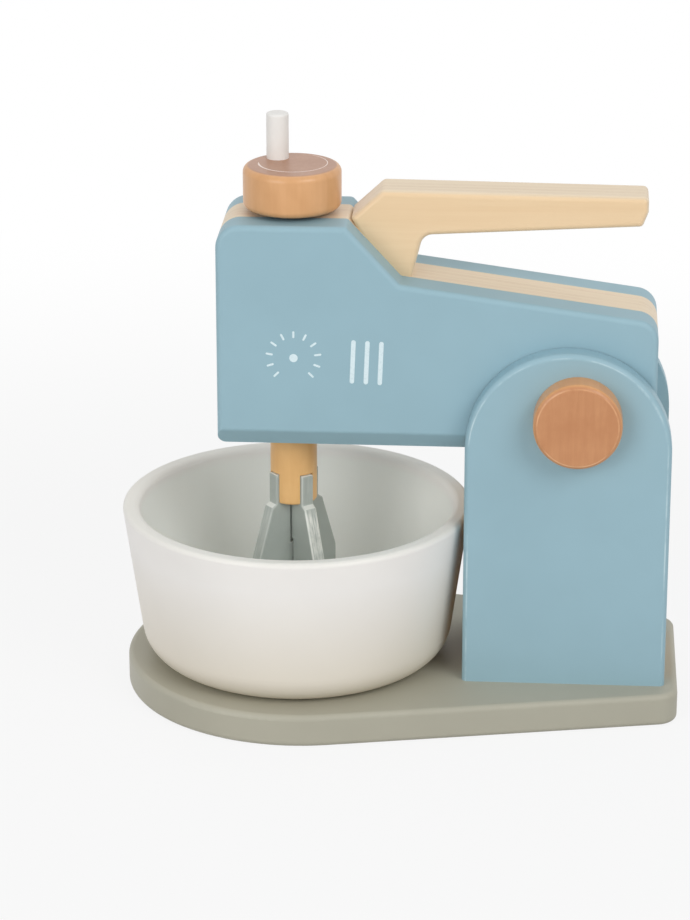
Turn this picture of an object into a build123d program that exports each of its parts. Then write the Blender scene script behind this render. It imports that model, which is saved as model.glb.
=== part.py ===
from build123d import *
import os
from math import cos, radians, sin, tan

# A wooden toy stand mixer, in millimetres. +Z is up, +X runs from the whisk to the column,
# y = 0 is the middle of the head. The origin is on the underside of the base, on the whisk's axis.

# ---------------------------------------------------------------- clearances
GLUE_GAP = 0.05          # radial, round a glued dowel or pin
RUNNING_GAP = 0.08       # radial, round a turning shaft
END_FLOAT = 0.2          # along a turning shaft
PANEL_GAP = 0.5          # between each upright and the tilting head
SLOT_GAP = 0.1           # each side of a whisk blade in the hub's slot
SLOT_END_GAP = 0.4       # above the blade in that slot
NOTCH_GAP = 0.75         # each side of a blade in the other blade's notch

# ---------------------------------------------------------------- base
base_thickness = 12.0
base_round_radius = 64.5     # round end, under the bowl
base_round_x = 3.0
base_back_x = 141.0
base_back_width = 76.0
base_corner_radius = 8.0
base_edge_round = 2.0

# ---------------------------------------------------------------- column
upright_thickness = 8.0
upright_width = 73.2
upright_left_x = 63.0
upright_top_z = 137.4
upright_edge_round = 2.0
spacer_inset = 3.5           # spacer's ends behind the uprights' edges
spacer_shelf_z = 79.5
pivot_x = 102.7
pivot_z = 113.7
tilt_stop_deg = 60.0

# ---------------------------------------------------------------- head
panel_thickness = 12.0
core_thickness = 18.0
head_left_x = -25.7
head_right_x = 130.4
head_bottom_z = 97.7
head_top_z = 179.5
nose_break_x = 20.3          # where the flat nose top turns down
slope_start_x = 39.2         # where the steep front turns into the long slope
slope_start_z = 158.9
slope_end_z = 146.6          # long slope's height at the right end
nose_corner_radius = 8.5
tail_corner_radius = 8.0
bottom_corner_radius = 3.0
break_radius = 2.0           # at the two bends of the head's top
panel_edge_round = 2.0
bevel_height = 6.0           # bevel along the panels' lower outer edges
bevel_depth = 4.2

# ---------------------------------------------------------------- handle
handle_rise = 10.2           # above the head's top, at the shoulder
handle_fall = 0.9            # from the shoulder to the far end
handle_root_x = 21.3         # where the handle leaves the nose
handle_shoulder_x = 32.3     # top end of the handle's sloping front
handle_end_x = 125.8
handle_thickness_root = 16.1
handle_thickness_end = 10.7
handle_end_slant = 2.0
handle_gap_top_x = 46.8      # finger gap's front wall at the top
handle_gap_bottom_x = 43.0   # and at the bottom
handle_edge_round = 2.0
handle_sink = 12.0           # handle blank's depth below the head's top

# ---------------------------------------------------------------- pivot
axle_radius = 6.0
disc_radius = 15.7
disc_thickness = 9.7
disc_edge_round = 2.0
disc_bore_depth = 6.0

# ---------------------------------------------------------------- knob and whisk drive
shaft_radius = 5.0
washer_radius = 11.0
washer_thickness = 1.3
knob_radius = 17.5
knob_height = 15.4
knob_edge_round = 2.5
knob_bore_depth = 8.0
peg_radius = 4.0
peg_height = 16.5            # above the knob
peg_depth = 7.0
peg_orbit = 10.5
peg_angle_deg = 124.0
peg_edge_round = 0.8
hub_radius = 8.5
hub_length = 27.0
hub_bore_depth = 14.0
hub_edge_round = 1.0
blade_thickness = 5.1
blade_angle_deg = 38.0
blade_tongue_length = 11.1   # part of the blade held in the hub
blade_tongue_proud = 0.7     # tongue's edge outside the hub
blade_shoulder_width = 1.9   # step outward just below the hub
blade_shoulder_height = 1.3
blade_reach = 17.0           # radius of the widest part
blade_wide_top_z = 49.5
blade_wide_bottom_z = 39.5
blade_tip_radius = 8.5
blade_bottom_z = 28.5
blade_edge_round = 0.8

# ---------------------------------------------------------------- bowl
bowl_x = 1.2                 # it stands loose, a little off the whisk's axis
bowl_y = -2.5
bowl_radius = 63.6
bowl_foot_radius = 55.3      # outer wall's radius where it would meet the foot
bowl_height = 58.5
bowl_wall = 6.2
bowl_corner_radius = 13.0
bowl_lip_outer_round = 1.6
bowl_lip_inner_round = 2.4

# ---------------------------------------------------------------- hidden dowels and screws
dowel_radius = 3.0
dowel_depth = 6.0            # into each panel
column_dowel_depth = 5.0     # into each upright
spacer_dowel_depth = 12.0
head_dowel_places = [(-15.0, 112.0), (-15.0, 160.0), (55.0, 112.0), (55.0, 142.0)]
column_dowel_inset = 9.0     # from the spacer's ends, its shelf and the screws' tips
screw_radius = 2.0
screw_head_radius = 3.8
screw_head_height = 2.6
screw_length = 32.0
screw_tip_length = 4.0
screw_sink = 0.3             # head below the underside
screw_recess = 1.4
screw_slot_width = 0.8
screw_inset = 12.0           # from the spacer's ends
screw_offset_y = 11.0

# ---------------------------------------------------------------- worked out from the sizes above
head_half = core_thickness / 2 + panel_thickness
core_half = core_thickness / 2
upright_inner = head_half + PANEL_GAP
upright_outer = upright_inner + upright_thickness
upright_right_x = upright_left_x + upright_width
upright_arch_x = upright_left_x + upright_width / 2
upright_arch_z = upright_top_z - upright_width / 2
spacer_left_x = upright_left_x + spacer_inset
spacer_right_x = upright_right_x - spacer_inset
pivot_above_bottom = pivot_z - head_bottom_z
rest_right_x = pivot_x - pivot_above_bottom * tan(radians(tilt_stop_deg / 2))
handle_top_z = head_top_z + handle_rise
knob_bottom_z = head_top_z + washer_thickness + END_FLOAT
knob_top_z = knob_bottom_z + knob_height
hub_top_z = head_bottom_z - END_FLOAT
hub_bottom_z = hub_top_z - hub_length
blade_top_z = hub_bottom_z + blade_tongue_length
tongue_radius = hub_radius + blade_tongue_proud


def slab(outline, y_back, y_front):
    """A flat outline in x and z, made solid from y_back (rear) to y_front (front)."""
    return extrude(Plane.XZ.offset(-y_back) * outline, amount=y_back - y_front)


def rounded(corners):
    """A closed face from (x, z, corner radius) triples."""
    points = [(x, z) for x, z, _ in corners]
    radii = [radius for _, _, radius in corners]
    return make_face(FilletPolyline(*points, radius=radii, close=True))


def rod(radius, y_back, y_front, x, z):
    """A round bar along Y."""
    return slab(Pos(x, z) * Circle(radius), y_back, y_front)


def post(radius, z_low, z_high, x=0.0, y=0.0):
    """A round bar along Z."""
    return Pos(x, y, z_low) * extrude(Circle(radius), amount=z_high - z_low)


def slope_z(x):
    """Height of the head's long top slope at x."""
    drop = slope_start_z - slope_end_z
    return slope_start_z - drop * (x - slope_start_x) / (head_right_x - slope_start_x)


def head_outline():
    """Side outline that the two panels and the core share."""
    return rounded([
        (head_left_x, head_bottom_z, bottom_corner_radius),
        (head_left_x, head_top_z, nose_corner_radius),
        (nose_break_x, head_top_z, break_radius),
        (slope_start_x, slope_start_z, break_radius),
        (head_right_x, slope_end_z, tail_corner_radius),
        (head_right_x, head_bottom_z, bottom_corner_radius),
    ])


def handle_outline():
    """Handle with a root that runs down into the core."""
    root_left_x = handle_root_x + handle_sink / 2
    end_bottom_x = handle_end_x - handle_end_slant
    end_top_z = handle_top_z - handle_fall
    return rounded([
        (root_left_x, slope_start_z - handle_sink, break_radius),
        (root_left_x, head_top_z - handle_sink, break_radius),
        (handle_root_x, head_top_z, 1.0),
        (handle_shoulder_x, handle_top_z, 2.5),
        (handle_end_x, end_top_z, 2.0),
        (handle_end_x, end_top_z - handle_thickness_end / 2, 2.0),
        (end_bottom_x, end_top_z - handle_thickness_end, 1.5),
        (handle_gap_top_x, handle_top_z - handle_thickness_root, 4.5),
        (handle_gap_bottom_x, slope_z(handle_gap_bottom_x), 1.0),
        (handle_gap_bottom_x, slope_start_z - handle_sink, break_radius),
    ])


def pivot_bore():
    return rod(axle_radius + RUNNING_GAP, head_half + 1, -head_half - 1, pivot_x, pivot_z)


def head_dowels(radius, reach):
    """Dowels that pin the three layers of the head, as solids or as bores."""
    return [rod(radius, reach, -reach, x, z) for x, z in head_dowel_places]


def make_head_panel(side):
    """One outer layer of the head. side is -1 at the front and +1 at the rear."""
    near, far = core_half, head_half
    y_back, y_front = (far, near) if side > 0 else (-near, -far)
    panel = slab(head_outline(), y_back, y_front)
    bevel = make_face(Polyline(
        (side * far, head_bottom_z - 1),
        (side * far + side, head_bottom_z - 1),
        (side * far + side, head_bottom_z + bevel_height + bevel_height / bevel_depth),
        (side * (far - bevel_depth) - side * bevel_depth / bevel_height, head_bottom_z - 1),
        close=True,
    ))
    start_x = head_left_x - 1
    panel -= Plane.YZ.offset(start_x) * extrude(bevel, amount=head_right_x - start_x + 1)
    outer_face = panel.faces().sort_by(Axis.Y)[-1 if side > 0 else 0]
    panel = fillet(outer_face.edges(), panel_edge_round)
    panel -= pivot_bore()
    for dowel in head_dowels(dowel_radius + GLUE_GAP, core_half + dowel_depth + GLUE_GAP):
        panel -= dowel
    return panel


def make_head_core():
    """Middle layer of the head, in one piece with the handle."""
    core = slab(head_outline(), core_half, -core_half)
    handle = slab(handle_outline(), core_half, -core_half)
    faces = handle.faces().sort_by(Axis.Y)
    handle = fillet(faces[0].edges() + faces[-1].edges(), handle_edge_round)
    core += handle
    core -= pivot_bore()
    core -= post(shaft_radius + RUNNING_GAP, head_bottom_z - 1, head_top_z + 1)
    for dowel in head_dowels(dowel_radius + GLUE_GAP, core_half + 1):
        core -= dowel
    return core


def column_dowel_centres():
    low_z = screw_sink + screw_length + column_dowel_inset
    high_z = spacer_shelf_z - column_dowel_inset
    left_x, right_x = spacer_left_x + column_dowel_inset, spacer_right_x - column_dowel_inset
    return [(x, z) for x in (left_x, right_x) for z in (low_z, high_z)]


def column_dowels(radius, slack):
    """Dowels between the spacer and each upright, as solids or as bores."""
    outer = upright_inner + column_dowel_depth + slack
    inner = upright_inner - spacer_dowel_depth - slack
    front = [rod(radius, -inner, -outer, x, z) for x, z in column_dowel_centres()]
    rear = [rod(radius, outer, inner, x, z) for x, z in column_dowel_centres()]
    return front + rear


def make_upright(side):
    """Painted side panel of the column with its arched top."""
    far, near = upright_outer, upright_inner
    y_back, y_front = (far, near) if side > 0 else (-near, -far)
    straight = upright_arch_z - base_thickness
    outline = Pos(upright_arch_x, base_thickness + straight / 2) * Rectangle(upright_width, straight)
    outline += Pos(upright_arch_x, upright_arch_z) * Circle(upright_width / 2)
    upright = slab(outline, y_back, y_front)
    outer_face = upright.faces().sort_by(Axis.Y)[-1 if side > 0 else 0]
    edges = outer_face.edges().filter_by(lambda edge: edge.center().Z > base_thickness + 1)
    upright = fillet(edges, upright_edge_round)
    upright -= rod(axle_radius + GLUE_GAP, y_back + 1, y_front - 1, pivot_x, pivot_z)
    for dowel in column_dowels(dowel_radius + GLUE_GAP, GLUE_GAP):
        upright -= dowel
    return upright


def screw_places():
    left_x, right_x = spacer_left_x + screw_inset, spacer_right_x - screw_inset
    return [(x, y) for x in (left_x, right_x) for y in (-screw_offset_y, screw_offset_y)]


def make_column_spacer():
    """Block between the uprights. Its step carries the lowered head and stops the tilt."""
    outline = make_face(Polyline(
        (spacer_left_x, base_thickness),
        (spacer_right_x, base_thickness),
        (spacer_right_x, spacer_shelf_z),
        (rest_right_x, spacer_shelf_z),
        (rest_right_x, head_bottom_z),
        (spacer_left_x, head_bottom_z),
        close=True,
    ))
    spacer = slab(outline, upright_inner, -upright_inner)
    for dowel in column_dowels(dowel_radius + GLUE_GAP, GLUE_GAP):
        spacer -= dowel
    for x, y in screw_places():
        spacer -= post(screw_radius + GLUE_GAP, 0, screw_sink + screw_length + GLUE_GAP, x, y)
    return spacer


def base_outline():
    corner_x = base_back_x - base_corner_radius
    corner_y = base_back_width / 2 - base_corner_radius
    circles = [Pos(base_round_x, 0) * Edge.make_circle(base_round_radius)]
    for y in (-corner_y, corner_y):
        circles.append(Pos(corner_x, y) * Edge.make_circle(base_corner_radius))
    return make_hull(circles)


def screw_cone(slack):
    """Countersunk head with its flat face down at z = 0."""
    return Pos(0, 0, screw_head_height / 2) * Cone(
        screw_head_radius + slack, screw_radius + slack, screw_head_height)


def make_base_plate():
    """Painted base, round under the bowl and narrower behind the column."""
    plate = extrude(base_outline(), amount=base_thickness)
    rims = plate.faces().sort_by(Axis.Z)[-1].edges() + plate.faces().sort_by(Axis.Z)[0].edges()
    plate = fillet(rims, base_edge_round)
    for x, y in screw_places():
        plate -= post(screw_radius + GLUE_GAP, -1, base_thickness + 1, x, y)
        plate -= post(screw_head_radius + GLUE_GAP, -1, screw_sink, x, y)
        plate -= Pos(x, y, screw_sink) * screw_cone(GLUE_GAP)
    return plate


def make_screw():
    """One countersunk wood screw, with a cross recess in its head."""
    shank_top = screw_length - screw_tip_length
    screw = screw_cone(0) + post(screw_radius, screw_head_height / 2, shank_top)
    tip = Pos(0, 0, shank_top + screw_tip_length / 2) * Cone(screw_radius, 0.2, screw_tip_length)
    screw += tip
    for angle in (0, 90):
        slot = Box(2 * screw_radius, screw_slot_width, 2 * screw_recess)
        screw -= Rot(0, 0, angle) * slot
    return screw


def make_disc(side):
    """Wooden cap on one end of the pivot axle."""
    inner, outer = upright_outer, upright_outer + disc_thickness
    y_back, y_front = (outer, inner) if side > 0 else (-inner, -outer)
    disc = rod(disc_radius, y_back, y_front, pivot_x, pivot_z)
    face = disc.faces().sort_by(Axis.Y)[-1 if side > 0 else 0]
    disc = fillet(face.edges(), disc_edge_round)
    bore_end = inner + disc_bore_depth + GLUE_GAP
    return disc - rod(axle_radius + GLUE_GAP, bore_end, -bore_end, pivot_x, pivot_z)


def make_pivot_axle():
    reach = upright_outer + disc_bore_depth
    return rod(axle_radius, reach, -reach, pivot_x, pivot_z)


def peg_centre():
    angle = radians(peg_angle_deg)
    return peg_orbit * cos(angle), peg_orbit * sin(angle)


def make_knob():
    knob = post(knob_radius, knob_bottom_z, knob_top_z)
    knob = fillet(knob.edges(), knob_edge_round)
    bore_top = knob_bottom_z + knob_bore_depth + GLUE_GAP
    knob -= post(shaft_radius + GLUE_GAP, knob_bottom_z - 1, bore_top)
    x, y = peg_centre()
    return knob - post(peg_radius + GLUE_GAP, knob_top_z - peg_depth - GLUE_GAP, knob_top_z + 1, x, y)


def make_crank_peg():
    x, y = peg_centre()
    peg = post(peg_radius, knob_top_z - peg_depth, knob_top_z + peg_height, x, y)
    return fillet(peg.edges().group_by(Axis.Z)[-1], peg_edge_round)


def make_knob_washer():
    washer = post(washer_radius, head_top_z, head_top_z + washer_thickness)
    return washer - post(shaft_radius + RUNNING_GAP, head_top_z - 1, knob_bottom_z)


def make_drive_shaft():
    return post(shaft_radius, hub_top_z - hub_bore_depth, knob_bottom_z + knob_bore_depth)


def blade_slots():
    """Crossed slots in the hub's lower end."""
    height = blade_tongue_length + SLOT_END_GAP + 1
    slot = Box(4 * hub_radius, blade_thickness + 2 * SLOT_GAP, height)
    slot = Pos(0, 0, hub_bottom_z - 1 + height / 2) * slot
    return [Rot(0, 0, blade_angle_deg + turn) * slot for turn in (0, 90)]


def make_whisk_hub():
    hub = post(hub_radius, hub_bottom_z, hub_top_z)
    hub = fillet(hub.edges().group_by(Axis.Z)[0], hub_edge_round)
    hub -= post(shaft_radius + GLUE_GAP, hub_top_z - hub_bore_depth - GLUE_GAP, hub_top_z + 1)
    for slot in blade_slots():
        hub -= slot
    return hub


def blade_outline():
    """Tongue in the hub, then a shape that widens and closes again towards the bowl."""
    right = [
        (tongue_radius, blade_top_z, 0.5),
        (tongue_radius, hub_bottom_z, 0.5),
        (tongue_radius + blade_shoulder_width, hub_bottom_z - blade_shoulder_height, 1.0),
        (blade_reach, blade_wide_top_z, 5.0),
        (blade_reach, blade_wide_bottom_z, 5.0),
        (blade_tip_radius, blade_bottom_z, 2.5),
    ]
    left = [(-x, z, radius) for x, z, radius in reversed(right)]
    return rounded(right + left)


def make_whisk_blade(turn, notch_low_z, notch_high_z):
    """One of two crossed blades, notched where the other passes through it."""
    half = blade_thickness / 2
    blade = slab(blade_outline(), half, -half)
    sides = blade.faces().filter_by(Axis.Y)
    blade = fillet(sides[0].edges() + sides[-1].edges(), blade_edge_round)
    notch_width = blade_thickness + 2 * NOTCH_GAP
    notch = Pos(0, 0, (notch_low_z + notch_high_z) / 2) * Box(
        notch_width, 2 * blade_thickness, notch_high_z - notch_low_z)
    return Rot(0, 0, blade_angle_deg + turn) * (blade - notch)


def bowl_section():
    """Half section of the bowl, from the middle of its foot round the rim to the middle of its floor."""
    rim_z = base_thickness + bowl_height
    floor_z = base_thickness + bowl_wall
    flare = (bowl_radius - bowl_foot_radius) / bowl_height
    inner_radius = bowl_radius - bowl_wall
    floor_radius = inner_radius - flare * (rim_z - floor_z)
    corners = [
        (bowl_foot_radius, base_thickness, bowl_corner_radius),
        (bowl_radius, rim_z, bowl_lip_outer_round),
        (inner_radius, rim_z, bowl_lip_inner_round),
        (floor_radius, floor_z, bowl_corner_radius - bowl_wall / 2),
    ]
    points = [(0, base_thickness)] + [(x, z) for x, z, _ in corners] + [(0, floor_z)]
    wall = FilletPolyline(*points, radius=[radius for _, _, radius in corners])
    return make_face(wall + Line((0, floor_z), (0, base_thickness)))


def make_bowl():
    return Pos(bowl_x, bowl_y) * revolve(Plane.XZ * bowl_section(), Axis.Z)


middle_z = (blade_top_z + blade_bottom_z) / 2
nodes = {
    "base_plate": make_base_plate(),
    "base_screws": [Pos(x, y, screw_sink) * make_screw() for x, y in screw_places()],
    "upright_front": make_upright(-1),
    "upright_rear": make_upright(1),
    "column_spacer": make_column_spacer(),
    "column_dowels": column_dowels(dowel_radius, 0),
    "pivot_axle": make_pivot_axle(),
    "axle_disc_front": make_disc(-1),
    "axle_disc_rear": make_disc(1),
    "head_panel_front": make_head_panel(-1),
    "head_panel_rear": make_head_panel(1),
    "head_core": make_head_core(),
    "head_dowels": head_dowels(dowel_radius, core_half + dowel_depth),
    "knob_washer": make_knob_washer(),
    "drive_shaft": make_drive_shaft(),
    "knob": make_knob(),
    "crank_peg": make_crank_peg(),
    "whisk_hub": make_whisk_hub(),
    "whisk_blade_top_notched": make_whisk_blade(0, middle_z - NOTCH_GAP, blade_top_z + 1),
    "whisk_blade_bottom_notched": make_whisk_blade(90, blade_bottom_z - 1, middle_z + NOTCH_GAP),
    "bowl": make_bowl(),
}

os.makedirs("parts", exist_ok=True)
for name, shape in nodes.items():
    solid = Compound(children=shape) if isinstance(shape, list) else shape
    export_step(solid, f"parts/{name}.step")
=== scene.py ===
"""Finish, printed marks, studio and camera for a wooden toy stand mixer.

Lengths are in metres. The scale of a noise is in waves per metre.
"""

import math

import bmesh
import bpy
from mathutils import Matrix, Vector


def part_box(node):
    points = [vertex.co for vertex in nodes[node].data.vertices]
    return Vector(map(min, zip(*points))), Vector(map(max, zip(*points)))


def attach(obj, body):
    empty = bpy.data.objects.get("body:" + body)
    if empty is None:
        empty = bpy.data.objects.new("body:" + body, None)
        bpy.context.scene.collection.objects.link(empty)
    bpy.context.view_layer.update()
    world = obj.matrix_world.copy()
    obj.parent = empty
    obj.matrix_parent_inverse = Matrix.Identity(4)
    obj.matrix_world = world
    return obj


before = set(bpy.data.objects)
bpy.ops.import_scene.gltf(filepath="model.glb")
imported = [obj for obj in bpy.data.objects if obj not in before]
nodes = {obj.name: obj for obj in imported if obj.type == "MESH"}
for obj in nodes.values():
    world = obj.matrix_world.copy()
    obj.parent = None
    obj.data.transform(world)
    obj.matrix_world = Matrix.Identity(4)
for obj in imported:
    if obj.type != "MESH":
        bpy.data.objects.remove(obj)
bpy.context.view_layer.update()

MM = 0.001
PRINT_THICKNESS = 0.04 * MM      # ink above the surface it is printed on

# ---------------------------------------------------------------- printed marks
STRIPE_COUNT = 3
STRIPE_PITCH = 4.95 * MM
STRIPE_LENGTH = 16.2 * MM
STRIPE_WIDTH = 1.6 * MM
STRIPE_CENTRE = (27.75 * MM, 130.15 * MM)
STRIPE_LEAN = math.radians(2.2)  # clockwise, seen from the front

DIAL_CENTRE = (1.8 * MM, 131.3 * MM)
DIAL_RADIUS = 10.0 * MM
DIAL_TICKS = 11
DIAL_SWEEP = math.radians(270)
DIAL_TICK_LENGTH = 2.6 * MM
DIAL_TICK_WIDTH = 0.75 * MM
DIAL_DOT_RADIUS = 1.5 * MM

ARC_CENTRE = (0.15 * MM, 1.9 * MM)
ARC_RADIUS = 12.2 * MM
ARC_START = math.radians(180)
ARC_END = math.radians(426)
ARC_WIDTH_START = 0.85 * MM
ARC_WIDTH_END = 0.30 * MM
ARC_TIP = 0.15                   # share of its width that the arc has at both tips
ARC_SWELL_START = 14             # how fast it reaches its full width, per length of the arc
ARC_SWELL_END = 9
INK_COVER = 0.72                 # where the ink is thin

# ---------------------------------------------------------------- colours
def srgb(red, green, blue):
    """Linear colour of an 8-bit sRGB colour."""
    def linear(value):
        value /= 255
        return value / 12.92 if value <= 0.04045 else ((value + 0.055) / 1.055) ** 2.4
    return (linear(red), linear(green), linear(blue), 1.0)


def shaded(color, factor):
    """A linear colour, darker or lighter by a factor."""
    return tuple(channel * factor for channel in color[:3]) + (1.0,)


BLUE = srgb(154, 187, 199)
BLUE_WORN = srgb(184, 210, 217)
# pale line along the edges of the uprights' faces: a painted highlight
BLUE_HIGHLIGHT = srgb(194, 217, 224)
TAUPE = srgb(179, 176, 160)
TAUPE_WORN = srgb(200, 197, 184)
BOWL_WHITE = srgb(247, 244, 240)
# greyer tint on the top of the bowl's rim: painted shade
BOWL_RIM_SHADE = srgb(236, 234, 227)
BOWL_WORN = srgb(246, 245, 242)
# whiter tint of the bowl's inside: painted light
BOWL_INSIDE_LIGHT = srgb(246, 247, 242)
# warmer, darker tint towards the bowl's foot: painted shade and reflection of the base
BOWL_FOOT_SHADE = srgb(226, 217, 199)
PEG_WHITE = srgb(240, 238, 234)
WHISK_GREY = srgb(174, 181, 175)
# pale marks on the blades: rubbed wear, and on one blade a painted highlight as well
WHISK_BARE_AND_SHEEN = srgb(240, 241, 234)
PLY_FACE = srgb(240, 212, 173)
PLY_FACE_DARK = srgb(228, 194, 150)
PLY_EDGE = srgb(236, 217, 188)
PLY_EDGE_DARK = srgb(208, 180, 146)
BEECH = srgb(226, 174, 124)
BEECH_DARK = srgb(205, 150, 98)
BEECH_END = srgb(187, 143, 116)
BEECH_END_DARK = srgb(170, 121, 92)
RED_BEECH = srgb(226, 170, 116)
RED_BEECH_DARK = srgb(204, 144, 92)
RED_BEECH_END = srgb(205, 147, 103)
RED_BEECH_END_DARK = srgb(188, 127, 84)
# pale line round the discs' faces: a painted highlight
RED_BEECH_HIGHLIGHT = srgb(236, 184, 138)
YELLOW_BEECH = srgb(240, 193, 131)
YELLOW_BEECH_DARK = srgb(222, 170, 108)
BLOCK_BEECH = srgb(222, 186, 142)
BLOCK_BEECH_DARK = srgb(202, 160, 114)
STEEL = srgb(190, 190, 186)
# dark washer under the knob, dark so that it reads as the shadow line there: painted shade
SHADOW_BLACK_PLASTIC = srgb(62, 62, 64)
INK = srgb(222, 239, 244)
KNOB_INK = srgb(246, 230, 220)


# ---------------------------------------------------------------- shader helpers
AXIS_DIRECTIONS = {"X": (1.0, 0.0, 0.0), "Y": (0.0, 1.0, 0.0), "Z": (0.0, 0.0, 1.0)}

# The colour sockets of a Mix node, which share their names with its other sockets.
MIX_FIRST, MIX_SECOND, MIX_RESULT = 6, 7, 2


def evenly(scale):
    return (scale, scale, scale)


def grain_scale(axis, across, along):
    """Coordinate scale for streaks that run along one axis, X, Y or Z."""
    return tuple(along if name == axis else across for name in "XYZ")


class Finish:
    """A material around one Principled shader, with short calls for the nodes that feed it."""

    def __init__(self, name, roughness=0.5, specular=0.5, metallic=0.0):
        self.material = bpy.data.materials.new(name)
        self.material.use_nodes = True
        self.tree = self.material.node_tree
        self.shader = self.tree.nodes["Principled BSDF"]
        self.shader.inputs["Roughness"].default_value = roughness
        self.shader.inputs["Specular IOR Level"].default_value = specular
        self.shader.inputs["Metallic"].default_value = metallic
        self.coordinates = self.tree.nodes.new("ShaderNodeTexCoord")

    def feed(self, socket, value):
        """Link a node's output to a socket, or set the socket if the value is a constant."""
        if isinstance(value, bpy.types.NodeSocket):
            self.tree.links.new(value, socket)
        else:
            socket.default_value = value

    def stretched(self, scale):
        """The object's own coordinates, scaled along each axis."""
        mapping = self.tree.nodes.new("ShaderNodeMapping")
        mapping.inputs["Scale"].default_value = scale
        self.feed(mapping.inputs["Vector"], self.coordinates.outputs["Object"])
        return mapping.outputs["Vector"]

    def noise(self, place, detail=4.0, roughness=0.55, distortion=0.0):
        """Noise over a vector socket, or over the object's own coordinates times a scale."""
        node = self.tree.nodes.new("ShaderNodeTexNoise")
        vector = place if isinstance(place, bpy.types.NodeSocket) else self.stretched(place)
        self.feed(node.inputs["Vector"], vector)
        node.inputs["Scale"].default_value = 1.0
        node.inputs["Detail"].default_value = detail
        node.inputs["Roughness"].default_value = roughness
        node.inputs["Distortion"].default_value = distortion
        return node.outputs["Fac"]

    def span(self, value, low, high, to_low=0.0, to_high=1.0):
        """Value from low to high, mapped to a new span and held at its ends."""
        node = self.tree.nodes.new("ShaderNodeMapRange")
        self.feed(node.inputs["Value"], value)
        node.inputs["From Min"].default_value = low
        node.inputs["From Max"].default_value = high
        node.inputs["To Min"].default_value = to_low
        node.inputs["To Max"].default_value = to_high
        return node.outputs["Result"]

    def math(self, operation, first, second=0.0):
        node = self.tree.nodes.new("ShaderNodeMath")
        node.operation = operation
        self.feed(node.inputs[0], first)
        self.feed(node.inputs[1], second)
        return node.outputs["Value"]

    def times(self, first, second):
        return self.math("MULTIPLY", first, second)

    def vector_math(self, operation, first, second):
        """The node itself, because operations differ in which output they fill."""
        node = self.tree.nodes.new("ShaderNodeVectorMath")
        node.operation = operation
        self.feed(node.inputs[0], first)
        self.feed(node.inputs[1], second)
        return node

    def mix(self, factor, first, second):
        node = self.tree.nodes.new("ShaderNodeMix")
        node.data_type = "RGBA"
        self.feed(node.inputs["Factor"], factor)
        self.feed(node.inputs[MIX_FIRST], first)
        self.feed(node.inputs[MIX_SECOND], second)
        return node.outputs[MIX_RESULT]

    def axis(self, source, name):
        """One axis of the object's own coordinates (Object) or of its normal (Normal)."""
        node = self.tree.nodes.new("ShaderNodeSeparateXYZ")
        self.feed(node.inputs["Vector"], self.coordinates.outputs[source])
        return node.outputs[name]

    def part_along(self, source, direction):
        """Length of the object's own coordinates (Object) or normal (Normal) along a direction."""
        return self.vector_math("DOT_PRODUCT", self.coordinates.outputs[source], direction).outputs["Value"]

    def outward(self, centre):
        """How far the surface faces away from an upright axis through centre, negative if inward."""
        offset = self.vector_math("SUBTRACT", self.coordinates.outputs["Object"], centre)
        level = self.vector_math("MULTIPLY", offset.outputs["Vector"], (1.0, 1.0, 0.0))
        return self.part_along("Normal", level.outputs["Vector"])

    def faces(self, direction):
        """How nearly the surface faces along a direction, either way: 1 is straight along it."""
        return self.math("ABSOLUTE", self.part_along("Normal", direction))

    def painted_highlight_line(self, direction):
        """A thin broken painted highlight where the flat across a direction turns into its rounded edge."""
        flatness = self.faces(direction)
        line = self.times(self.span(flatness, 0.87, 0.93), self.span(flatness, 0.96, 0.99, 1.0, 0.0))
        return self.times(line, self.span(self.noise(evenly(75), detail=5), 0.43, 0.62))

    def brushed(self, direction, across, along):
        """Coordinates for streaks that run up an edge band. The direction points across the band."""
        node = self.tree.nodes.new("ShaderNodeCombineXYZ")
        self.feed(node.inputs["X"], self.times(self.part_along("Object", direction), across))
        self.feed(node.inputs["Z"], self.times(self.axis("Object", "Z"), along))
        return node.outputs["Vector"]

    def edges(self, radius, low, high):
        """1 on the object's edges and corners, 0 on its flats."""
        bevel = self.tree.nodes.new("ShaderNodeBevel")
        bevel.samples = 6
        bevel.inputs["Radius"].default_value = radius
        geometry = self.tree.nodes.new("ShaderNodeNewGeometry")
        flatness = self.vector_math("DOT_PRODUCT", bevel.outputs["Normal"], geometry.outputs["Normal"])
        return self.span(self.math("SUBTRACT", 1.0, flatness.outputs["Value"]), low, high)

    def color(self, value):
        self.feed(self.shader.inputs["Base Color"], value)

    def roughness(self, value):
        self.feed(self.shader.inputs["Roughness"], value)

    def bump(self, *heights):
        """Stack bumps on the shader. Each height is (value, strength, distance)."""
        normal = None
        for value, strength, distance in heights:
            node = self.tree.nodes.new("ShaderNodeBump")
            node.inputs["Strength"].default_value = strength
            node.inputs["Distance"].default_value = distance
            self.feed(node.inputs["Height"], value)
            if normal is not None:
                self.feed(node.inputs["Normal"], normal)
            normal = node.outputs["Normal"]
        self.feed(self.shader.inputs["Normal"], normal)


# ---------------------------------------------------------------- materials
FOOT_SHADE_SHARE = 0.8            # share of the bowl's height where the painted shade at its foot fades out
RIM_DEPTH = 2 * MM               # the bowl's rim has its painted shade this far down
INSIDE_DEPTH = 5 * MM            # and its inside has its full painted light from this far down
INSIDE_REACH = (2 * MM, 10 * MM)  # outward reach of what is surely inside, and surely outside
WEAR_RADIUS = 1.0 * MM           # how far the worn paint reaches from an edge
BLADE_WEAR_DEPTH = 3 * MM        # under the hub, where the blades' worn bands begin
PLY_PITCH = 1.8 * MM             # thickness of one ply
PLY_SEAM = 0.52                  # middle of a glue line, from 0 in a pale ply to 1 in a dark one


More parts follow.
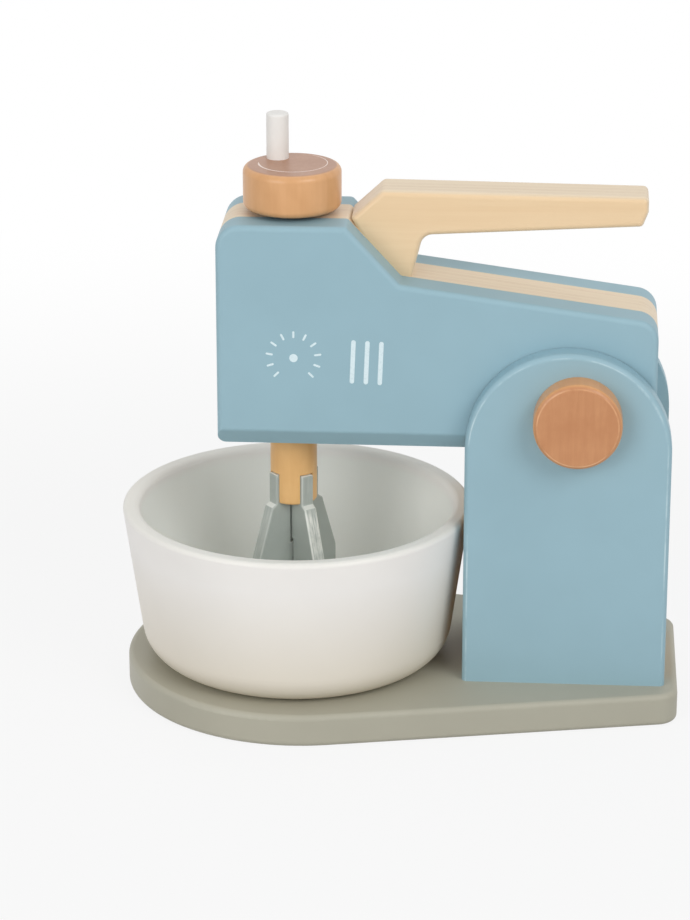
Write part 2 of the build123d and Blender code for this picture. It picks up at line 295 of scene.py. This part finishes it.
def bowl_painted_shading(finish, base, node):
    """A bowl's paint with painted light and shade: darker and warmer towards its foot as painted shade and
    reflection of the base, whiter inside as painted light, and greyer on its rim as painted shade.
    """
    low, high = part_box(node)
    height = finish.axis("Object", "Z")
    foot_end = low.z + FOOT_SHADE_SHARE * (high.z - low.z)
    base = finish.mix(finish.span(height, low.z, foot_end, 1.0, 0.0), base, BOWL_FOOT_SHADE)
    inside = finish.span(finish.outward((low + high) / 2), *INSIDE_REACH, 1.0, 0.0)
    below_rim = finish.span(height, high.z - INSIDE_DEPTH, high.z - RIM_DEPTH, 1.0, 0.0)
    base = finish.mix(finish.times(inside, below_rim), base, BOWL_INSIDE_LIGHT)
    return finish.mix(finish.span(height, high.z - RIM_DEPTH, high.z), base, BOWL_RIM_SHADE)


def paint(name, color, worn, grain_axis, roughness=0.46, wear=0.5, mottling=0.05, line=None, bowl=None):
    """Satin paint on wood: faint mottling, grain that shows through, edges rubbed paler.

    line is the colour of a painted highlight, a broken pale line along the edges of a board's faces.
    bowl is the node name of a bowl, which gets painted shade at its foot and rim and painted light inside.
    """
    finish = Finish(name, roughness=roughness, specular=0.34)
    clouds = finish.noise(evenly(22), detail=3)
    base = finish.mix(finish.span(clouds, 0.35, 0.65), color, shaded(color, 1 - mottling))
    if bowl:
        base = bowl_painted_shading(finish, base, bowl)
    scuffs = finish.span(finish.noise(evenly(160), detail=6, roughness=0.7), 0.35, 0.65)
    rubbed = finish.times(finish.edges(WEAR_RADIUS, 0.01, 0.30), scuffs)
    base = finish.mix(finish.times(rubbed, wear), base, worn)
    if line:
        # painted highlight along the edges of the faces
        base = finish.mix(finish.painted_highlight_line(AXIS_DIRECTIONS["Y"]), base, line)
    finish.color(base)
    finish.roughness(finish.span(clouds, 0.3, 0.7, roughness - 0.04, roughness + 0.06))
    fibres = finish.noise(grain_scale(grain_axis, 420, 18), detail=5)
    peel = finish.noise(evenly(900), detail=2)
    finish.bump((fibres, 0.10, 0.10 * MM), (peel, 0.12, 0.04 * MM))
    return finish.material


def whisk_paint(name, face_normal, bare_wear_and_sheen):
    """Grey paint on a cut blade, paler along its corners and in brush strokes on its edge bands.

    bare_wear_and_sheen is how strong the pale marks are, from 0 to 1. They are rubbed wear, and where it is
    high they are also a painted highlight.
    """
    finish = Finish(name, roughness=0.42, specular=0.45)
    clouds = finish.noise(evenly(60), detail=3)
    base = finish.mix(finish.span(clouds, 0.35, 0.65), WHISK_GREY, shaded(WHISK_GREY, 0.93))
    hub_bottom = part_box("whisk_hub")[0].z
    height = finish.axis("Object", "Z")
    below_hub = finish.span(height, hub_bottom - BLADE_WEAR_DEPTH, hub_bottom, 1.0, 0.15)
    on_face = finish.faces(face_normal)
    band = finish.times(finish.span(on_face, 0.25, 0.60, 1.0, 0.0), below_hub)
    strokes = finish.noise(finish.brushed(face_normal, 1300, 110), detail=4, roughness=0.6)
    strokes = finish.span(strokes, 0.34, 0.62)
    patches = finish.span(finish.noise(evenly(150), detail=3), 0.36, 0.56, 0.35, 1.0)
    brushed = finish.times(finish.times(strokes, patches), band)
    corners = finish.times(finish.span(on_face, 0.10, 0.45), finish.span(on_face, 0.80, 0.98, 1.0, 0.0))
    corners = finish.times(corners, finish.span(below_hub, 0.0, 1.0, 0.3, 1.0))
    rubbed = finish.times(corners, finish.span(patches, 0.35, 1.0, 0.7 * bare_wear_and_sheen, bare_wear_and_sheen))
    top_end = finish.span(finish.axis("Normal", "Z"), 0.6, 0.9)
    # pale strokes and corners: rubbed wear, and on the blade across also a painted highlight
    worn = finish.math("MAXIMUM", finish.times(brushed, bare_wear_and_sheen), rubbed)
    finish.color(finish.mix(finish.math("MAXIMUM", worn, top_end), base, WHISK_BARE_AND_SHEEN))
    finish.roughness(finish.span(clouds, 0.3, 0.7, 0.38, 0.50))
    finish.bump((strokes, 0.12, 0.04 * MM), (finish.noise(evenly(700), detail=3), 0.15, 0.05 * MM))
    return finish.material


def plywood(name):
    """Lacquered plywood: a long-grained face veneer and stacked plies on every edge."""
    finish = Finish(name, roughness=0.38, specular=0.38)
    streaks = finish.noise(grain_scale("X", 240, 9), detail=6, roughness=0.6, distortion=0.3)
    pores = finish.noise(grain_scale("X", 1700, 80), detail=4, roughness=0.7)
    face = finish.mix(finish.span(streaks, 0.32, 0.72, 0.0, 0.55), PLY_FACE, PLY_FACE_DARK)
    face = finish.mix(finish.span(pores, 0.55, 0.80, 0.0, 0.20), face, PLY_FACE_DARK)
    waver = finish.noise(grain_scale("X", 60, 14), detail=3)
    depth = finish.times(finish.axis("Object", "Y"), 1 / PLY_PITCH)
    depth = finish.math("ADD", depth, finish.span(waver, 0.3, 0.7, -0.12, 0.12))
    ply = finish.math("PINGPONG", depth, 1.0)
    dark_ply = finish.span(ply, 0.44, 0.60)
    from_seam = finish.math("ABSOLUTE", finish.math("SUBTRACT", ply, PLY_SEAM))
    glue_line = finish.span(from_seam, 0.03, 0.12, 1.0, 0.0)
    fibres = finish.noise(evenly(700), detail=5, roughness=0.7)
    fade = finish.span(finish.noise(grain_scale("X", 240, 12), detail=3), 0.40, 0.62, 0.10, 1.0)
    tone = finish.times(dark_ply, finish.span(fibres, 0.3, 0.7, 0.05, 0.35))
    edge = finish.mix(finish.times(tone, fade), PLY_EDGE, PLY_EDGE_DARK)
    edge = finish.mix(finish.times(glue_line, finish.times(fade, 0.40)), edge, PLY_EDGE_DARK)
    on_face = finish.span(finish.faces(AXIS_DIRECTIONS["Y"]), 0.55, 0.85)
    finish.color(finish.mix(on_face, edge, face))
    finish.bump((pores, 0.12, 0.06 * MM), (dark_ply, 0.04, 0.05 * MM))
    return finish.material


def solid_wood(name, axis, side_colors, end_colors, contrast=0.5, face_axis=None,
               end_reach=(0.90, 0.99), line=None):
    """Lacquered solid wood with its grain along one axis, and end grain on the faces across it.

    Each pair of colours is the wood and its darker streaks. face_axis is the axis of the
    streaks on those faces, where they are cut from a board. end_reach says how far the
    end grain goes round the edges; line is the colour of a painted highlight along them.
    """
    finish = Finish(name, roughness=0.32, specular=0.45)
    light, dark = side_colors
    streaks = finish.noise(grain_scale(axis, 260, 12), detail=5, roughness=0.55, distortion=0.4)
    blotches = finish.noise(grain_scale(axis, 90, 55), detail=3)
    flecks = finish.noise(grain_scale(axis, 1900, 260), detail=3, roughness=0.6)
    side = finish.mix(finish.span(streaks, 0.34, 0.70, 0.0, contrast), light, dark)
    side = finish.mix(finish.span(blotches, 0.40, 0.64, 0.0, contrast), side, dark)
    side = finish.mix(finish.span(flecks, 0.60, 0.72, 0.0, 0.5 * contrast), side, dark)
    light_end, dark_end = end_colors
    end_scale = grain_scale(face_axis, 420, 40) if face_axis else evenly(500)
    end_streaks = finish.noise(end_scale, detail=6, roughness=0.65, distortion=0.5)
    speckle = finish.noise(evenly(2600), detail=2)
    end = finish.mix(finish.span(end_streaks, 0.36, 0.68, 0.0, 1.1 * contrast), light_end, dark_end)
    end = finish.mix(finish.span(blotches, 0.40, 0.64, 0.0, contrast), end, dark_end)
    end = finish.mix(finish.span(speckle, 0.55, 0.75, 0.0, 0.6 * contrast), end, dark_end)
    base = finish.mix(finish.span(finish.faces(AXIS_DIRECTIONS[axis]), *end_reach), side, end)
    if line:
        # painted highlight round the edges of the end faces
        base = finish.mix(finish.painted_highlight_line(AXIS_DIRECTIONS[axis]), base, line)
    finish.color(base)
    finish.bump((streaks, 0.06, 0.06 * MM), (flecks, 0.10, 0.04 * MM))
    return finish.material


def steel(name):
    """Zinc-plated steel, faintly brushed."""
    finish = Finish(name, roughness=0.36, metallic=1.0)
    marks = finish.noise(grain_scale("Z", 2400, 300), detail=4)
    finish.color(finish.mix(finish.span(marks, 0.35, 0.65), STEEL, shaded(STEEL, 0.8)))
    finish.roughness(finish.span(marks, 0.3, 0.7, 0.30, 0.45))
    finish.bump((marks, 0.08, 0.03 * MM))
    return finish.material


def plastic(name):
    """Dull moulded plastic with a fine spark-eroded texture."""
    finish = Finish(name, roughness=0.6, specular=0.4)
    texture = finish.noise(evenly(1500), detail=3)
    finish.color(finish.mix(finish.span(texture, 0.35, 0.65), SHADOW_BLACK_PLASTIC, shaded(SHADOW_BLACK_PLASTIC, 1.35)))
    finish.bump((texture, 0.2, 0.04 * MM))
    return finish.material


def ink(name, color, ground):
    """Screen-printed ink, a little thin in places, where the ground shows through."""
    finish = Finish(name, roughness=0.5, specular=0.4)
    cover = finish.noise(evenly(1100), detail=4, roughness=0.7)
    thin = tuple(INK_COVER * over + (1 - INK_COVER) * under for over, under in zip(color, ground))
    finish.color(finish.mix(finish.span(cover, 0.50, 0.72), color, thin))
    finish.bump((cover, 0.15, 0.02 * MM))
    return finish.material


def dress(material, *names):
    """Give CAD nodes a material."""
    for name in names:
        mesh = nodes[name].data
        mesh.materials.clear()
        mesh.materials.append(material)


BLADE_ANGLE = math.radians(38)   # of the top-notched blade, from +X towards +Y
BLADE_FACE = (-math.sin(BLADE_ANGLE), math.cos(BLADE_ANGLE), 0.0)
CROSS_BLADE_FACE = (math.cos(BLADE_ANGLE), math.sin(BLADE_ANGLE), 0.0)
BEECH_SIDES = (BEECH, BEECH_DARK)
BEECH_ENDS = (BEECH_END, BEECH_END_DARK)
RED_SIDES = (RED_BEECH, RED_BEECH_DARK)
RED_ENDS = (RED_BEECH_END, RED_BEECH_END_DARK)
YELLOW_SIDES = (YELLOW_BEECH, YELLOW_BEECH_DARK)
BLOCK_SIDES = (BLOCK_BEECH, BLOCK_BEECH_DARK)

dress(paint("blue_paint_upright", BLUE, BLUE_WORN, "Z", line=BLUE_HIGHLIGHT), "upright_front", "upright_rear")
dress(paint("blue_paint_head", BLUE, BLUE_WORN, "X"), "head_panel_front", "head_panel_rear")
dress(paint("taupe_paint", TAUPE, TAUPE_WORN, "X", wear=0.6), "base_plate")
dress(paint("white_paint_bowl", BOWL_WHITE, BOWL_WORN, "X", roughness=0.40, wear=0.4, mottling=0.03,
            bowl="bowl"), "bowl")
dress(paint("white_paint_peg", PEG_WHITE, BOWL_WORN, "Z", roughness=0.42, wear=0.3), "crank_peg")
dress(whisk_paint("whisk_paint_along", BLADE_FACE, 0.22), "whisk_blade_top_notched")
# this blade's pale marks are far stronger: a painted highlight on its edge band, besides wear
dress(whisk_paint("whisk_paint_across", CROSS_BLADE_FACE, 0.95), "whisk_blade_bottom_notched")
dress(plywood("plywood_lacquered"), "head_core")
dress(solid_wood("beech_knob", "Z", BEECH_SIDES, BEECH_ENDS, contrast=0.45), "knob")
dress(solid_wood("yellow_beech_dowel", "Z", YELLOW_SIDES, YELLOW_SIDES, contrast=0.4),
      "whisk_hub", "drive_shaft")
dress(solid_wood("red_beech_disc", "Y", RED_SIDES, RED_ENDS, face_axis="Z", end_reach=(0.45, 0.80),
                 line=RED_BEECH_HIGHLIGHT), "axle_disc_front", "axle_disc_rear")
dress(solid_wood("beech_pin", "Y", BEECH_SIDES, BEECH_ENDS), "pivot_axle", "column_dowels", "head_dowels")
dress(solid_wood("beech_block", "Z", BLOCK_SIDES, BLOCK_SIDES), "column_spacer")
# the washer is dark so that it reads as the shadow under the knob: painted shade
dress(plastic("black_plastic"), "knob_washer")
dress(steel("zinc_plated_steel"), "base_screws")


# ---------------------------------------------------------------- printed marks
def solid_from_outline(name, outline, to_place):
    """A thin closed solid from a flat outline. to_place moves it from its own XY plane."""
    mesh = bpy.data.meshes.new(name)
    shape = bmesh.new()
    bottom = shape.faces.new([shape.verts.new((x, y, -PRINT_THICKNESS)) for x, y in outline])
    top = bmesh.ops.extrude_face_region(shape, geom=[bottom])
    raised = [item for item in top["geom"] if isinstance(item, bmesh.types.BMVert)]
    bmesh.ops.translate(shape, verts=raised, vec=(0, 0, 2 * PRINT_THICKNESS))
    bmesh.ops.recalc_face_normals(shape, faces=shape.faces)
    bmesh.ops.transform(shape, matrix=to_place, verts=shape.verts)
    shape.to_mesh(mesh)
    shape.free()
    piece = bpy.data.objects.new(name, mesh)
    bpy.context.scene.collection.objects.link(piece)
    return piece


def joined(name, pieces):
    """One object from several, at the origin."""
    shape = bmesh.new()
    for piece in pieces:
        shape.from_mesh(piece.data)
        bpy.data.objects.remove(piece)
    mesh = bpy.data.meshes.new(name)
    shape.to_mesh(mesh)
    shape.free()
    whole = bpy.data.objects.new(name, mesh)
    bpy.context.scene.collection.objects.link(whole)
    return whole


def capsule(length, width, steps=10):
    """Outline of a bar with round ends, along Y."""
    radius = width / 2
    reach = length / 2 - radius
    turn = [math.pi * step / steps for step in range(steps + 1)]
    top = [(radius * math.cos(a), reach + radius * math.sin(a)) for a in turn]
    bottom = [(-x, -y) for x, y in top]
    return top + bottom


def on_circle(radius, angle):
    return (radius * math.cos(angle), radius * math.sin(angle))


def circle(radius, steps=32):
    return [on_circle(radius, 2 * math.pi * step / steps) for step in range(steps)]


def brush_arc(steps=72):
    """Outline of an arc that starts thick and thins out."""
    outer, inner = [], []
    for step in range(steps + 1):
        share = step / steps
        angle = ARC_START + (ARC_END - ARC_START) * share
        width = ARC_WIDTH_END + (ARC_WIDTH_START - ARC_WIDTH_END) * (1 - share) ** 3
        width *= min(1.0, ARC_TIP + ARC_SWELL_START * share, ARC_TIP + ARC_SWELL_END * (1 - share))
        outer.append(on_circle(ARC_RADIUS + width / 2, angle))
        inner.append(on_circle(ARC_RADIUS - width / 2, angle))
    return outer + inner[::-1]


def on_head_front(x, z, turn=0.0):
    """Matrix that puts a flat outline on the head's front, centred at x and z and turned clockwise."""
    front_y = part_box("head_panel_front")[0].y
    upright = Matrix.Rotation(math.pi / 2, 4, "X")
    return Matrix.Translation((x, front_y, z)) @ Matrix.Rotation(turn, 4, "Y") @ upright


def make_stripes():
    """A row of upright bars, each a little lower than the one on its left."""
    bars = []
    for number in range(STRIPE_COUNT):
        shift = (number - (STRIPE_COUNT - 1) / 2) * STRIPE_PITCH
        x = STRIPE_CENTRE[0] + shift * math.cos(STRIPE_LEAN)
        z = STRIPE_CENTRE[1] - shift * math.sin(STRIPE_LEAN)
        place = on_head_front(x, z, STRIPE_LEAN)
        bars.append(solid_from_outline("bar", capsule(STRIPE_LENGTH, STRIPE_WIDTH), place))
    return joined("printed_stripes", bars)


def make_dial():
    """A generic ring of dial ticks, with a dot in its middle."""
    marks = [solid_from_outline("dot", circle(DIAL_DOT_RADIUS), on_head_front(*DIAL_CENTRE))]
    for number in range(DIAL_TICKS):
        turn = DIAL_SWEEP * (number / (DIAL_TICKS - 1) - 0.5)
        middle = DIAL_RADIUS - DIAL_TICK_LENGTH / 2
        x = DIAL_CENTRE[0] + middle * math.sin(turn)
        z = DIAL_CENTRE[1] + middle * math.cos(turn)
        place = on_head_front(x, z, turn)
        marks.append(solid_from_outline("tick", capsule(DIAL_TICK_LENGTH, DIAL_TICK_WIDTH), place))
    return joined("printed_dial", marks)


def make_knob_arc():
    """A thin line printed round the top of the knob."""
    top_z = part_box("knob")[1].z
    return solid_from_outline("printed_knob_arc", brush_arc(), Matrix.Translation((*ARC_CENTRE, top_z)))


head_ink = ink("white_ink_head", INK, BLUE)
knob_ink = ink("white_ink_knob", KNOB_INK, BEECH_END)
for print_piece, ink_material, body in ((make_stripes(), head_ink, "head"), (make_dial(), head_ink, "head"),
                                        (make_knob_arc(), knob_ink, "whisk_drive")):
    print_piece.data.materials.append(ink_material)
    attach(print_piece, body)


# ---------------------------------------------------------------- studio
FLOOR_HALF = 4.0                 # half the side of the square floor
FLOOR_COLOR = (0.64, 0.64, 0.64, 1.0)
FLOOR_GLOW_NEAR = 0.86           # share of plain white that the camera sees near the object
FLOOR_FADE_START = 0.20          # from this far out the share grows
FLOOR_FADE_END = 0.60            # and from this far out the floor is plain white
WHITE = (1.0, 1.0, 1.0, 1.0)
AMBIENT = 0.51                   # strength of the light from all round

SOFTBOX_TARGET = (0.04, 0.0, 0.09)  # the middle of the mixer
SOFTBOXES = (                    # name, position, side and power
    ("key_softbox", (-0.75, -1.20, 0.60), 0.8, 6.9),
    ("fill_softbox", (0.95, -0.98, 1.02), 0.8, 8.5),
    ("back_softbox", (0.00, 0.60, 1.20), 1.0, 1.8),
)

CAMERA_PLACE = (0.09575, -1.1658, 0.5186)
CAMERA_PITCH_DOWN = 0.355        # radians
CAMERA_TURN_LEFT = 0.066         # radians
SENSOR_HEIGHT = 36.0             # millimetres, like the focal length
FOCAL_LENGTH = 133.95


def seen_directly(tree):
    """1 for camera, glossy and transmission rays, so that reflections show the same background."""
    light_path = tree.nodes.new("ShaderNodeLightPath")
    total = light_path.outputs["Is Camera Ray"]
    for name in ("Is Glossy Ray", "Is Transmission Ray"):
        node = tree.nodes.new("ShaderNodeMath")
        node.operation = "MAXIMUM"
        tree.links.new(total, node.inputs[0])
        tree.links.new(light_path.outputs[name], node.inputs[1])
        total = node.outputs["Value"]
    return total


def make_floor():
    """A pale floor that looks nearly white, so that only a faint shadow shows on it."""
    mesh = bpy.data.meshes.new("floor")
    corners = [(-FLOOR_HALF, -FLOOR_HALF, 0), (FLOOR_HALF, -FLOOR_HALF, 0),
               (FLOOR_HALF, FLOOR_HALF, 0), (-FLOOR_HALF, FLOOR_HALF, 0)]
    mesh.from_pydata(corners, [], [(0, 1, 2, 3)])
    floor = bpy.data.objects.new("floor", mesh)
    bpy.context.scene.collection.objects.link(floor)
    material = bpy.data.materials.new("floor_pale")
    material.use_nodes = True
    tree = material.node_tree
    tree.nodes.clear()
    diffuse = tree.nodes.new("ShaderNodeBsdfDiffuse")
    diffuse.inputs["Color"].default_value = FLOOR_COLOR
    glow = tree.nodes.new("ShaderNodeEmission")
    coordinates = tree.nodes.new("ShaderNodeTexCoord")
    distance = tree.nodes.new("ShaderNodeVectorMath")
    distance.operation = "LENGTH"
    tree.links.new(coordinates.outputs["Object"], distance.inputs[0])
    fade = tree.nodes.new("ShaderNodeMapRange")
    fade.interpolation_type = "SMOOTHSTEP"
    tree.links.new(distance.outputs["Value"], fade.inputs["Value"])
    fade.inputs["From Min"].default_value = FLOOR_FADE_START
    fade.inputs["From Max"].default_value = FLOOR_FADE_END
    fade.inputs["To Min"].default_value = FLOOR_GLOW_NEAR
    share = tree.nodes.new("ShaderNodeMath")
    share.operation = "MULTIPLY"
    tree.links.new(fade.outputs["Result"], share.inputs[0])
    tree.links.new(seen_directly(tree), share.inputs[1])
    mix = tree.nodes.new("ShaderNodeMixShader")
    tree.links.new(share.outputs["Value"], mix.inputs["Fac"])
    tree.links.new(diffuse.outputs["BSDF"], mix.inputs[1])
    tree.links.new(glow.outputs["Emission"], mix.inputs[2])
    output = tree.nodes.new("ShaderNodeOutputMaterial")
    tree.links.new(mix.outputs["Shader"], output.inputs["Surface"])
    mesh.materials.append(material)


def make_world():
    """Soft light from all round, in front of a backdrop that looks plain white."""
    world = bpy.data.worlds.new("studio")
    bpy.context.scene.world = world
    world.use_nodes = True
    tree = world.node_tree
    tree.nodes.clear()
    ambient = tree.nodes.new("ShaderNodeBackground")
    ambient.inputs["Strength"].default_value = AMBIENT
    backdrop = tree.nodes.new("ShaderNodeBackground")
    for background in (ambient, backdrop):
        background.inputs["Color"].default_value = WHITE
    mix = tree.nodes.new("ShaderNodeMixShader")
    tree.links.new(seen_directly(tree), mix.inputs["Fac"])
    tree.links.new(ambient.outputs["Background"], mix.inputs[1])
    tree.links.new(backdrop.outputs["Background"], mix.inputs[2])
    output = tree.nodes.new("ShaderNodeOutputWorld")
    tree.links.new(mix.outputs["Shader"], output.inputs["Surface"])


def add_softbox(name, position, side, power):
    """A square area lamp that points at the middle of the mixer."""
    lamp = bpy.data.lights.new(name, "AREA")
    lamp.shape = "SQUARE"
    lamp.size = side
    lamp.energy = power
    softbox = bpy.data.objects.new(name, lamp)
    softbox.location = position
    aim = Vector(SOFTBOX_TARGET) - Vector(position)
    softbox.rotation_euler = aim.to_track_quat("-Z", "Y").to_euler()
    bpy.context.scene.collection.objects.link(softbox)


def add_camera():
    """The photograph's viewpoint: a long lens, a little above the mixer."""
    camera_data = bpy.data.cameras.new("camera")
    camera_data.sensor_fit = "VERTICAL"
    camera_data.sensor_height = SENSOR_HEIGHT
    camera_data.lens = FOCAL_LENGTH
    camera = bpy.data.objects.new("camera", camera_data)
    camera.location = CAMERA_PLACE
    camera.rotation_euler = (math.pi / 2 - CAMERA_PITCH_DOWN, 0.0, CAMERA_TURN_LEFT)
    bpy.context.scene.collection.objects.link(camera)
    bpy.context.scene.camera = camera


make_floor()
make_world()
for softbox_setup in SOFTBOXES:
    add_softbox(*softbox_setup)
add_camera()
bpy.context.scene.view_settings.view_transform = "Standard"
